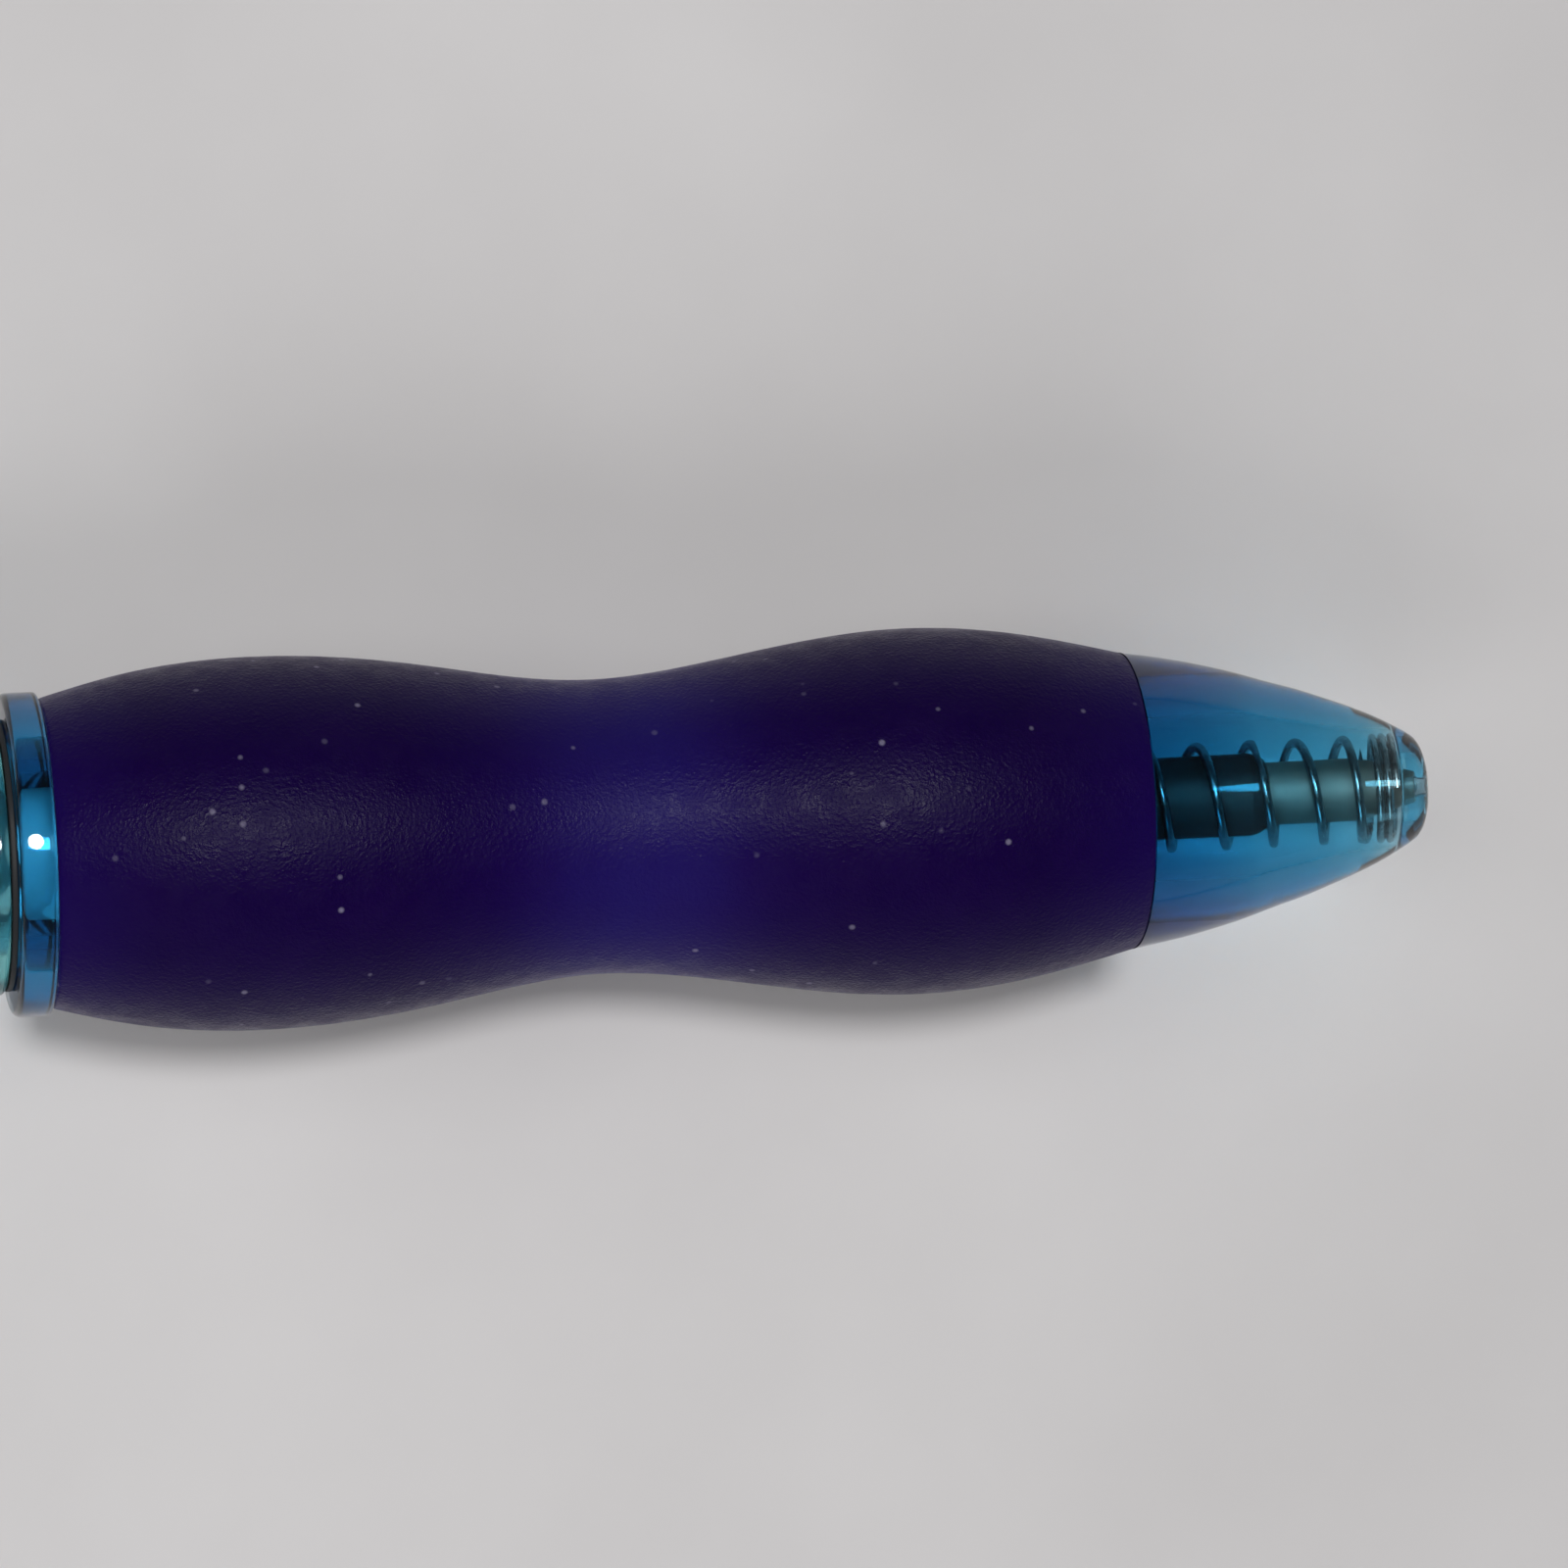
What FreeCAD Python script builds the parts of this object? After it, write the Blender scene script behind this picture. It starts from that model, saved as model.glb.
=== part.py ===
import FreeCAD, Part
import math
import os

# A retractable wide-body ballpoint pen, in millimetres.
# The pen's axis runs along X with the writing tip toward +X, and the clip is on top, toward +Z.
# A place on the pen is given by two lengths: "back", measured rearward from the front face of
# the nose, and "radius", measured outward from the axis.

# overall size
PEN_LENGTH = 140.5
AXIS_HEIGHT = 6.81
BUTTON_STROKE = 5.0

# stations along the outside of the pen
NOSE_LENGTH = 11.2
GRIP_LENGTH = 40.2
RING_WIDTH = 1.35
JOINT_GAP = 0.28
SEAT = 0.03
GRIP_FRONT = NOSE_LENGTH + SEAT
GRIP_BACK = GRIP_FRONT + GRIP_LENGTH
RING_FRONT = GRIP_BACK + SEAT
RING_BACK = RING_FRONT + RING_WIDTH
BARREL_FRONT = RING_BACK + JOINT_GAP
BARREL_BACK = 124.0
CROWN_BACK = 130.5

# radii of the outside pieces
NOSE_RADIUS = 5.5
CORE_RADIUS = 4.25
RING_RADIUS = 5.9
SEAL_RADIUS = 4.95
BARREL_BACK_RADIUS = 4.8
BARREL_BORE = 4.05
BUTTON_RADIUS = 2.5

# screw joint between the front and rear barrels
SPIGOT_RADIUS = 3.6
SPIGOT_BACK = 61.8
THREAD_PITCH = 1.5
THREAD_DEPTH = 0.32
THREAD_TURNS = 4
THREAD_FRONT = BARREL_FRONT + 1.2
THREAD_PLAY = 0.05

# inside of the nose, where the refill slides
EXIT_HOLE = 1.25
TIP_WALL = 1.2
SPRING_CHAMBER = 2.2
CORE_BORE = 3.0

# refill
BALL_RADIUS = 0.5
BALL_BACK = 1.1
BALL_PLAY = 0.02
SHANK_RADIUS = 1.15
SHANK_BACK = 6.4
HOLDER_RADIUS = 1.5
HOLDER_BORE = 1.0
SPRING_SEAT_FRONT = 23.4
SPRING_SEAT_BACK = 24.4
SPRING_SEAT_RADIUS = 2.4
TUBE_RADIUS = 2.4
TUBE_BORE = 2.05
TUBE_BACK = 104.0
INK_BACK = 82.0
PLUG_BACK = 107.6

# return spring
WIRE_RADIUS = 0.18
COIL_RADIUS = 1.82
SPRING_FRONT = TIP_WALL + 0.05
SPRING_BACK = SPRING_SEAT_FRONT - 0.05
STEPS_PER_TURN = 12

# click mechanism
GROOVES = 4
TEETH = 8
CAM_RADIUS = 2.2
SLEEVE_FRONT = 104.1
SLEEVE_BACK = 121.0
SLEEVE_RADIUS = 3.8
SLEEVE_BORE = 2.95
RIB_FRONT = 108.0
RIB_BACK = 117.0
RIB_RADIUS = 2.35
GROOVE_WIDTH = 1.5
FIN_WIDTH = 1.2
FIN_REACH = 2.78
ROTOR_FRONT = PLUG_BACK + 0.02
ROTOR_BACK = 113.6
TOOTH_DEPTH = 1.1
TOOTH_HALF_WIDTH = 0.62
PIN_RADIUS = 1.2
PLUNGER_FRONT = 113.9
BUTTON_FRONT = 122.8
BUTTON_FLANGE = 2.85

# clip
CLIP_HALF_WIDTH = 1.8
CLIP_TIP_HALF_WIDTH = 1.4
CLIP_THICKNESS = 0.6
CLIP_FOOT_BACK = 127.0
CLIP_HOOK_FRONT = 125.6
CLIP_HOOK_RADIUS = 3.25
DIMPLE_BACK = 95.5
DIMPLE_RADIUS = 1.2
DIMPLE_GAP = 0.05
SLOT_PLAY = 0.25

AXIS_POINT = FreeCAD.Vector(0, 0, AXIS_HEIGHT)
FORWARD = FreeCAD.Vector(1, 0, 0)


def along(back):
    """The X of a station."""
    return PEN_LENGTH / 2 - back


def on_section(back, radius):
    """A point on the upper half of the pen's lengthwise section."""
    return FreeCAD.Vector(along(back), 0, AXIS_HEIGHT + radius)


def section_wire(outline):
    """A closed wire on the lengthwise section.

    The outline lists (back, radius) corners joined by straight lines; a list of such points
    inside it is a smooth curve through them.
    """
    edges = []
    runs = [run if isinstance(run, list) else [run] for run in outline]
    runs = [[on_section(*place) for place in run] for run in runs]
    for run, following in zip(runs, runs[1:] + runs[:1]):
        if len(run) > 1:
            curve = Part.BSplineCurve()
            curve.interpolate(run)
            edges.append(curve.toShape())
        if run[-1].distanceToPoint(following[0]) > 1e-6:
            edges.append(Part.makeLine(run[-1], following[0]))
    return Part.Wire(edges)


def lathe(outline):
    """Turn a closed outline about the pen's axis into a solid."""
    return Part.Face(section_wire(outline)).revolve(AXIS_POINT, FORWARD, 360)


def tube(front, back, inner, outer):
    """A plain round tube between two stations."""
    return lathe([(front, inner), (front, outer), (back, outer), (back, inner)])


def round_rims(shape, size, *rims):
    """Round the circular edges at the given (back, radius) places."""
    edges = []
    for edge in shape.Edges:
        if not isinstance(edge.Curve, Part.Circle):
            continue
        for back, radius in rims:
            same_station = abs(edge.Curve.Center.x - along(back)) < 0.01
            if same_station and abs(edge.Curve.Radius - radius) < 0.01:
                edges.append(edge)
    return shape.makeFillet(size, edges)


def radial_block(outline, inner, outer, turn):
    """Extrude a flat outline of (back, across) corners outward, turned about the axis."""
    corners = [FreeCAD.Vector(along(back), across, AXIS_HEIGHT + inner) for back, across in outline]
    face = Part.Face(Part.makePolygon(corners + corners[:1]))
    block = face.extrude(FreeCAD.Vector(0, 0, outer - inner))
    block.rotate(AXIS_POINT, FORWARD, turn)
    return block


def bar(front, back, width):
    """The (back, across) corners of a straight bar along the pen."""
    return [(front, -width / 2), (front, width / 2), (back, width / 2), (back, -width / 2)]


def spaced(count):
    """Equally spaced angles round the axis, in degrees."""
    return [360 * step / count for step in range(count)]


def thread_ridge(play, extra_turns):
    """The helical ridge of the screw joint, widened by the play and lengthened at both ends."""
    base = SPIGOT_RADIUS - 0.15
    crest = SPIGOT_RADIUS + THREAD_DEPTH + play
    base_half = 0.45 + play
    crest_half = 0.15 + play
    corners = [
        FreeCAD.Vector(base, 0, -base_half),
        FreeCAD.Vector(crest, 0, -crest_half),
        FreeCAD.Vector(crest, 0, crest_half),
        FreeCAD.Vector(base, 0, base_half),
    ]
    profile = Part.makePolygon(corners + corners[:1])
    turns = THREAD_TURNS + 2 * extra_turns
    path = Part.makeHelix(THREAD_PITCH, THREAD_PITCH * turns, SPIGOT_RADIUS)
    ridge = Part.Wire(path.Edges).makePipeShell([profile], True, True)
    ridge.rotate(FreeCAD.Vector(0, 0, 0), FreeCAD.Vector(0, 1, 0), -90)
    front = THREAD_FRONT - THREAD_PITCH * extra_turns
    ridge.translate(FreeCAD.Vector(along(front), 0, AXIS_HEIGHT))
    return ridge


def front_barrel():
    """Nose cone, grip core and screw spigot, moulded as one piece."""
    nose = [
        (0.0, 1.45), (0.2, 1.85), (0.65, 2.17), (1.3, 2.53), (2.45, 3.06), (3.6, 3.5),
        (4.7, 3.89), (5.8, 4.22), (6.9, 4.57), (8.0, 4.87), (9.2, 5.15), (NOSE_LENGTH, NOSE_RADIUS),
    ]
    shoulder = BARREL_FRONT - 0.02
    body = lathe([
        (0.0, EXIT_HOLE),
        nose,
        (NOSE_LENGTH, CORE_RADIUS),
        (shoulder, CORE_RADIUS),
        (shoulder, SPIGOT_RADIUS),
        (SPIGOT_BACK, SPIGOT_RADIUS),
        (SPIGOT_BACK, CORE_BORE),
        (7.0, CORE_BORE),
        (2.8, SPRING_CHAMBER),
        (TIP_WALL, SPRING_CHAMBER),
        (TIP_WALL, EXIT_HOLE),
    ])
    return body.fuse(thread_ridge(0, 0))


def grip_sleeve():
    """The soft double-hump sleeve round the core."""
    swell = [
        (GRIP_FRONT, NOSE_RADIUS), (14.6, 6.28), (19.8, 6.75), (25.7, 6.03), (31.4, 5.41),
        (37.65, 6.29), (43.4, 6.81), (48.5, 6.35), (GRIP_BACK, 5.62),
    ]
    bore = CORE_RADIUS + SEAT
    sleeve = lathe([(GRIP_FRONT, bore), swell, (GRIP_BACK, bore)])
    return round_rims(sleeve, 0.25, (GRIP_FRONT, NOSE_RADIUS), (GRIP_BACK, 5.62))


def collar_ring():
    """The clear ring that holds the sleeve on its core."""
    ring = tube(RING_FRONT, RING_BACK, CORE_RADIUS + 0.02, RING_RADIUS)
    ring = round_rims(ring, 0.25, (RING_BACK, RING_RADIUS))
    return round_rims(ring, 0.15, (RING_FRONT, RING_RADIUS))


def seal_ring():
    """The flat rubber ring at the bottom of the gap between collar and rear barrel."""
    clearance = 0.02
    front = RING_BACK + clearance
    back = BARREL_FRONT - 2 * clearance
    return tube(front, back, CORE_RADIUS + clearance, SEAL_RADIUS)


def rear_barrel():
    """The slim rear barrel, threaded inside its front end."""
    bulge = [
        (BARREL_FRONT, 5.08), (62.0, 5.22), (75.0, 5.3), (92.0, 5.28), (108.0, 5.1),
        (BARREL_BACK, BARREL_BACK_RADIUS),
    ]
    thread_bore = SPIGOT_RADIUS + THREAD_PLAY
    sleeve_bore = SLEEVE_RADIUS + 0.02
    body = lathe([
        (BARREL_FRONT, thread_bore),
        bulge,
        (BARREL_BACK, sleeve_bore),
        (SLEEVE_FRONT - 0.05, sleeve_bore),
        (SLEEVE_FRONT - 0.05, 3.3),
        (SLEEVE_FRONT - 1.2, 3.3),
        (SLEEVE_FRONT - 2.2, BARREL_BORE),
        (64.0, BARREL_BORE),
        (63.0, thread_bore),
    ])
    body = round_rims(body, 0.3, (BARREL_FRONT, 5.08))
    return body.cut(thread_ridge(THREAD_PLAY, 1))


def cam_sleeve():
    """The fixed sleeve of the click mechanism, with guide ribs between four grooves."""
    body = lathe([
        (SLEEVE_FRONT, SLEEVE_BORE),
        (SLEEVE_FRONT, SLEEVE_RADIUS),
        (SLEEVE_BACK, SLEEVE_RADIUS),
        (SLEEVE_BACK, SLEEVE_BORE),
        (RIB_BACK + 0.6, SLEEVE_BORE),
        (RIB_BACK, RIB_RADIUS),
        (RIB_FRONT, RIB_RADIUS),
        (RIB_FRONT, SLEEVE_BORE),
    ])
    for turn in spaced(GROOVES):
        groove = radial_block(bar(RIB_FRONT - 1, RIB_BACK + 1, GROOVE_WIDTH), 1.5, 2.9, turn)
        body = body.cut(groove)
        ramp = [(RIB_FRONT - 0.1, -1.9), (RIB_FRONT + 0.9, -0.7), (RIB_FRONT - 0.1, -0.7)]
        body = body.cut(radial_block(ramp, 1.5, 2.9, turn))
    return body


def crown():
    """The end piece that closes the barrel, guides the button and holds the clip's foot."""
    button_bore = BUTTON_RADIUS + 0.1
    body = lathe([
        (SLEEVE_BACK + 0.05, SLEEVE_BORE),
        (SLEEVE_BACK + 0.05, SLEEVE_RADIUS),
        (BARREL_BACK + 0.05, SLEEVE_RADIUS),
        (BARREL_BACK + 0.05, BARREL_BACK_RADIUS),
        (CROWN_BACK, 4.5),
        (CROWN_BACK, button_bore),
        (124.5, button_bore),
        (124.5, SLEEVE_BORE),
    ])
    body = round_rims(body, 1.1, (CROWN_BACK, 4.5))
    body = round_rims(body, 0.3, (CROWN_BACK, button_bore))
    slot_width = 2 * (CLIP_HALF_WIDTH + 0.2)
    foot_front = CLIP_FOOT_BACK - CLIP_THICKNESS
    opening = bar(foot_front - SLOT_PLAY, CLIP_FOOT_BACK + SLOT_PLAY, slot_width)
    pocket = bar(CLIP_HOOK_FRONT - 0.3, CLIP_FOOT_BACK + SLOT_PLAY, slot_width)
    body = body.cut(radial_block(opening, 3.5, 6.0, 0))
    return body.cut(radial_block(pocket, CLIP_HOOK_RADIUS - 0.15, 3.97, 0))


def clip():
    """The bent spring-steel clip, hooked into the crown, with a dimple near its free end."""
    foot_front = CLIP_FOOT_BACK - CLIP_THICKNESS
    hook_top = CLIP_HOOK_RADIUS + 0.55
    top = [
        (CLIP_FOOT_BACK, 6.9), (126.55, 7.75), (125.6, 8.05), (118.0, 8.0), (108.0, 7.6),
        (99.5, 6.75), (95.5, 6.45), (92.9, 6.7), (91.2, 7.2),
    ]
    underside = [
        (90.9, 6.68), (92.8, 6.12), (95.5, 5.85), (99.6, 6.15), (108.1, 7.0), (118.0, 7.4),
        (125.3, 7.45), (126.1, 7.3), (foot_front, 6.85),
    ]
    profile = section_wire([
        (CLIP_HOOK_FRONT, CLIP_HOOK_RADIUS),
        (CLIP_FOOT_BACK, CLIP_HOOK_RADIUS),
        top,
        underside,
        (foot_front, hook_top),
        (CLIP_HOOK_FRONT, hook_top),
    ])
    sideways = FreeCAD.Vector(0, CLIP_HALF_WIDTH, 0)
    strip = Part.Face(profile).extrude(sideways * 2)
    strip.translate(-sideways)
    plan = [
        (128.0, -CLIP_HALF_WIDTH), (118.0, -CLIP_HALF_WIDTH), (93.0, -CLIP_TIP_HALF_WIDTH),
        (91.4, -0.95), (90.8, -0.35), (90.8, 0.35), (91.4, 0.95),
        (93.0, CLIP_TIP_HALF_WIDTH), (118.0, CLIP_HALF_WIDTH), (128.0, CLIP_HALF_WIDTH),
    ]
    strip = strip.common(radial_block(plan, 3.0, 9.0, 0))
    barrel_top = 5.26
    dimple_centre = on_section(DIMPLE_BACK, barrel_top + DIMPLE_GAP + DIMPLE_RADIUS)
    dimple = Part.makeSphere(DIMPLE_RADIUS, dimple_centre)
    dimple = dimple.common(radial_block(bar(93.0, 98.0, 4.0), 5.0, 6.1, 0))
    return strip.fuse(dimple)


def push_button():
    """The thumb button, hollow in front for the plunger's stem."""
    bore = 1.7
    body = lathe([
        (BUTTON_FRONT, bore),
        (BUTTON_FRONT, BUTTON_FLANGE),
        (124.4, BUTTON_FLANGE),
        (124.4, BUTTON_RADIUS),
        (PEN_LENGTH, BUTTON_RADIUS),
        (PEN_LENGTH, 0.0),
        (137.5, 0.0),
        (137.5, bore),
    ])
    return round_rims(body, 0.8, (PEN_LENGTH, BUTTON_RADIUS))


def plunger_cam():
    """The toothed plunger under the button, kept from turning by four keys in the grooves."""
    bore = PIN_RADIUS + 0.15
    stem = 1.66
    body = lathe([
        (PLUNGER_FRONT, bore),
        (PLUNGER_FRONT, CAM_RADIUS),
        (BUTTON_FRONT - 0.05, CAM_RADIUS),
        (BUTTON_FRONT - 0.05, stem),
        (128.0, stem),
        (128.0, 0.0),
        (118.5, 0.0),
        (118.5, bore),
    ])
    tip = ROTOR_BACK - TOOTH_DEPTH + 0.35
    half = TOOTH_HALF_WIDTH * (PLUNGER_FRONT - tip) / TOOTH_DEPTH
    tooth = [(tip, 0.0), (PLUNGER_FRONT + 0.1, half), (PLUNGER_FRONT + 0.1, -half)]
    for turn in spaced(TEETH):
        body = body.fuse(radial_block(tooth, bore + 0.02, 2.05, turn))
    for turn in spaced(GROOVES):
        body = body.fuse(radial_block(bar(114.2, 116.6, FIN_WIDTH), 1.9, FIN_REACH, turn))
    return body.removeSplitter()


def rotor_cam():
    """The toothed rotor that carries the refill's end and catches on the sleeve's ribs."""
    body = lathe([
        (ROTOR_FRONT, 0.0),
        (ROTOR_FRONT, TUBE_RADIUS),
        (ROTOR_FRONT + 0.4, CAM_RADIUS),
        (ROTOR_BACK, CAM_RADIUS),
        (ROTOR_BACK, PIN_RADIUS),
        (117.0, PIN_RADIUS),
        (117.4, 0.8),
        (117.4, 0.0),
    ])
    valley = ROTOR_BACK - TOOTH_DEPTH
    slope = TOOTH_HALF_WIDTH * 1.1
    notch = [(valley, 0.0), (ROTOR_BACK + 0.11, slope), (ROTOR_BACK + 0.11, -slope)]
    for turn in spaced(TEETH):
        body = body.cut(radial_block(notch, PIN_RADIUS + 0.02, 2.4, turn))
    side = FIN_WIDTH / 2
    fin = [(109.0, -side), (109.0, side), (111.3, side), (112.2, -side)]
    for turn in spaced(GROOVES):
        body = body.fuse(radial_block(fin, 1.9, FIN_REACH, turn))
    return body.removeSplitter()


def return_spring():
    """The coil spring round the refill's neck, with closed coils at both ends."""
    front = SPRING_FRONT + WIRE_RADIUS
    back = SPRING_BACK - WIRE_RADIUS
    rises = [(0.0, front), (2.5, front + 0.95), (3.5, front + 2.25), (13.0, back - 0.8), (15.0, back)]
    points = []
    for (turn_a, back_a), (turn_b, back_b) in zip(rises, rises[1:]):
        steps = round((turn_b - turn_a) * STEPS_PER_TURN)
        for step in range(steps):
            share = step / steps
            points.append((turn_a + share * (turn_b - turn_a), back_a + share * (back_b - back_a)))
    points.append(rises[-1])
    path = Part.BSplineCurve()
    path.interpolate([
        FreeCAD.Vector(
            along(station),
            COIL_RADIUS * math.sin(2 * math.pi * turn),
            AXIS_HEIGHT + COIL_RADIUS * math.cos(2 * math.pi * turn),
        )
        for turn, station in points
    ])
    edge = path.toShape()
    start = edge.valueAt(edge.FirstParameter)
    heading = edge.tangentAt(edge.FirstParameter)
    profile = Part.Wire(Part.makeCircle(WIRE_RADIUS, start, heading))
    return Part.Wire(edge).makePipeShell([profile], True, True)


def writing_ball():
    """The rolling ball."""
    return Part.makeSphere(BALL_RADIUS, FreeCAD.Vector(along(BALL_BACK), 0, AXIS_HEIGHT))


def refill_point():
    """The metal point, with a socket round the ball and a feed hole behind it."""
    body = lathe([
        (BALL_BACK - 0.25, 0.0),
        (BALL_BACK - 0.25, 0.56),
        (3.0, SHANK_RADIUS),
        (SHANK_BACK, SHANK_RADIUS),
        (SHANK_BACK, 0.95),
        (10.0, 0.95),
        (10.0, 0.35),
        (2.3, 0.35),
        (2.0, 0.15),
        (1.3, 0.15),
        (1.3, 0.0),
    ])
    socket = FreeCAD.Vector(along(BALL_BACK), 0, AXIS_HEIGHT)
    return body.cut(Part.makeSphere(BALL_RADIUS + BALL_PLAY, socket))


def point_holder():
    """The plastic neck between point and ink tube, with the flange the spring pushes on."""
    return lathe([
        (SHANK_BACK + 0.02, 0.97),
        (SHANK_BACK + 0.02, 1.3),
        (7.2, HOLDER_RADIUS),
        (SPRING_SEAT_FRONT, HOLDER_RADIUS),
        (SPRING_SEAT_FRONT, SPRING_SEAT_RADIUS),
        (SPRING_SEAT_BACK, SPRING_SEAT_RADIUS),
        (SPRING_SEAT_BACK, TUBE_BORE - 0.02),
        (28.0, TUBE_BORE - 0.02),
        (28.0, HOLDER_BORE),
        (10.2, HOLDER_BORE),
        (10.2, 0.97),
    ])


def ink_tube():
    """The long tube that stores the ink."""
    return tube(SPRING_SEAT_BACK + 0.03, TUBE_BACK, TUBE_BORE, TUBE_RADIUS)


def ink_column():
    """The ink in the neck and the tube, ending in a hollow meniscus."""
    fill = TUBE_BORE - 0.02
    meniscus = [(INK_BACK, fill), (INK_BACK - 0.7, 0.9), (INK_BACK - 0.95, 0.0)]
    return lathe([
        (10.22, 0.0),
        (10.22, HOLDER_BORE - 0.02),
        (28.03, HOLDER_BORE - 0.02),
        (28.03, fill),
        meniscus,
    ])


def ink_follower():
    """The clear grease plug that follows the ink down the tube."""
    fill = TUBE_BORE - 0.02
    front = [(INK_BACK - 0.92, 0.0), (INK_BACK - 0.67, 0.9), (INK_BACK + 0.03, fill)]
    return lathe([front, (INK_BACK + 5.0, fill), (INK_BACK + 4.2, 0.0)])


def refill_plug():
    """The vented plug at the refill's rear end."""
    body = lathe([
        (101.0, 0.4),
        (101.0, TUBE_BORE - 0.02),
        (TUBE_BACK + 0.03, TUBE_BORE - 0.02),
        (TUBE_BACK + 0.03, TUBE_RADIUS),
        (PLUG_BACK, TUBE_RADIUS),
        (PLUG_BACK, 0.4),
    ])
    return body.cut(radial_block(bar(PLUG_BACK - 0.5, PLUG_BACK + 0.1, 0.6), -2.5, 2.5, 0))


PIECES = [
    front_barrel,
    grip_sleeve,
    collar_ring,
    seal_ring,
    rear_barrel,
    cam_sleeve,
    crown,
    clip,
    push_button,
    plunger_cam,
    rotor_cam,
    return_spring,
    writing_ball,
    refill_point,
    point_holder,
    ink_tube,
    ink_column,
    ink_follower,
    refill_plug,
]

os.makedirs("parts", exist_ok=True)
for piece in PIECES:
    piece().exportStep("parts/" + piece.__name__ + ".step")
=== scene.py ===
import math

import bmesh
import bpy
import numpy as np
from mathutils import Euler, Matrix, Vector


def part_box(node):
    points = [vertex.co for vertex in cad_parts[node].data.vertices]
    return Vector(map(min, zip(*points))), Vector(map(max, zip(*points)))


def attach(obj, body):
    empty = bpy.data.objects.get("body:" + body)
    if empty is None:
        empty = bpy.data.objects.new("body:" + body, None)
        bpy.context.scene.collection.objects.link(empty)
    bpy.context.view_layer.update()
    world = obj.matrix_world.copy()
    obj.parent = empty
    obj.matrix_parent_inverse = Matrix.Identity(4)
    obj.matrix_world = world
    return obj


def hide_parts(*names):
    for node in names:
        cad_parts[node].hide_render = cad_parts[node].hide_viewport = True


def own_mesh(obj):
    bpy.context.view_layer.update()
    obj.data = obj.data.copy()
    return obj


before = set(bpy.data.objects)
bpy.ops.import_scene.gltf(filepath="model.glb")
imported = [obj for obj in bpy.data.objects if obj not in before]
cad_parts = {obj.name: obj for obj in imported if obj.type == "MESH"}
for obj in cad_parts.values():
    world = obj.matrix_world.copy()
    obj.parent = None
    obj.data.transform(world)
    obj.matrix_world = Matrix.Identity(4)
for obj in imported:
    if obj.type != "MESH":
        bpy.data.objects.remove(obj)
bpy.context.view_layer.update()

# The looks of a retractable wide-body pen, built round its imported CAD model.
#
# Lengths are in millimetres; only the lights are set in metres. As in the CAD model, a place on
# a turned piece is (back, radius): its station "back", which runs rearward from the front face
# of the nose, and its distance from the pen's axis.

MM = 0.001
NOSE_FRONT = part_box("front_barrel")[1].x / MM
AXIS_HEIGHT = (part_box("collar_ring")[0].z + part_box("collar_ring")[1].z) / 2 / MM


def along(back):
    """The X of a station."""
    return NOSE_FRONT - back


def front_of(node):
    """The station of a CAD node's front end."""
    return NOSE_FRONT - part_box(node)[1].x / MM


def back_of(node):
    """The station of a CAD node's rear end."""
    return NOSE_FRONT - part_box(node)[0].x / MM


def radius_of(node):
    """The outer radius of a CAD node that is round about the pen's axis."""
    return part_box(node)[1].z / MM - AXIS_HEIGHT


RING_FRONT = front_of("collar_ring")
RING_BACK = back_of("collar_ring")
GRIP_FRONT = front_of("grip_sleeve")
GRIP_BACK = back_of("grip_sleeve")
BARREL_FRONT = front_of("rear_barrel")
BARREL_BACK = back_of("rear_barrel")
PEN_BACK = back_of("push_button")

# front barrel and collar
NOSE_LENGTH = 11.2
NOSE_RADIUS = 5.5
TIP_WALL = 1.2
EXIT_HOLE = 1.25
SPRING_CHAMBER = 2.2
CORE_BORE = 3.0
CORE_RADIUS = 4.25
RING_RADIUS = 5.9
SPIGOT_RADIUS = 3.6
SPIGOT_BACK = 61.8

# screw joint
THREAD_PITCH = 1.5
THREAD_DEPTH = 0.32
THREAD_FRONT = BARREL_FRONT + 1.2
THREAD_BACK = THREAD_FRONT + 4 * THREAD_PITCH
THREAD_HALF_FOOT = 0.42
THREAD_FLANK = 0.27
THREAD_OVERRUN = 0.3
THREAD_FADE = 0.4

# rear barrel, crown and button
BARREL_BORE = 4.05
LEDGE_BORE = 3.3
SLEEVE_RADIUS = 3.8
CROWN_FRONT = 121.05
CROWN_SHOULDER = 124.05
CROWN_BACK = 130.5
CROWN_BORE = 2.95
GUIDE_FRONT = 124.5
GUIDE_BORE = 2.6
BUTTON_FRONT = 122.8
BUTTON_BORE = 1.7
BUTTON_RADIUS = 2.5
BUTTON_FLANGE = 2.85

# clip
CLIP_HALF_THICKNESS = 0.29
CLIP_EDGE_ROUNDING = 0.14
CLIP_END_ROUNDED_TO = 93.0
CLIP_FOOT = 126.7
CLIP_HOOK = 3.525
CLIP_HOOK_FRONT = 125.6
DIMPLE_BACK = 95.5
DIMPLE_CENTRE = 6.51
DIMPLE_RADIUS = 1.2

# refill and spring
BALL_BACK = 1.1
BALL_RADIUS = 0.5
POINT_RADIUS = 1.15
STEM_FRONT = 6.4
STEM_BACK = 10.0
STEM_RADIUS = 0.95
STEM_SOCKET = 0.97
NECK_RADIUS = 1.5
NECK_BORE = 1.0
NECK_BORE_FRONT = 10.2
FLANGE_FRONT = 23.4
FLANGE_BACK = 24.4
PLUG_BACK = 28.0
TUBE_RADIUS = radius_of("ink_tube")
TUBE_BORE = TUBE_RADIUS - 0.35
TUBE_BACK = 104.0
TUBE_FILL = TUBE_BORE - 0.02
WIRE_RADIUS = 0.18
COIL_RADIUS = 1.82

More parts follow.
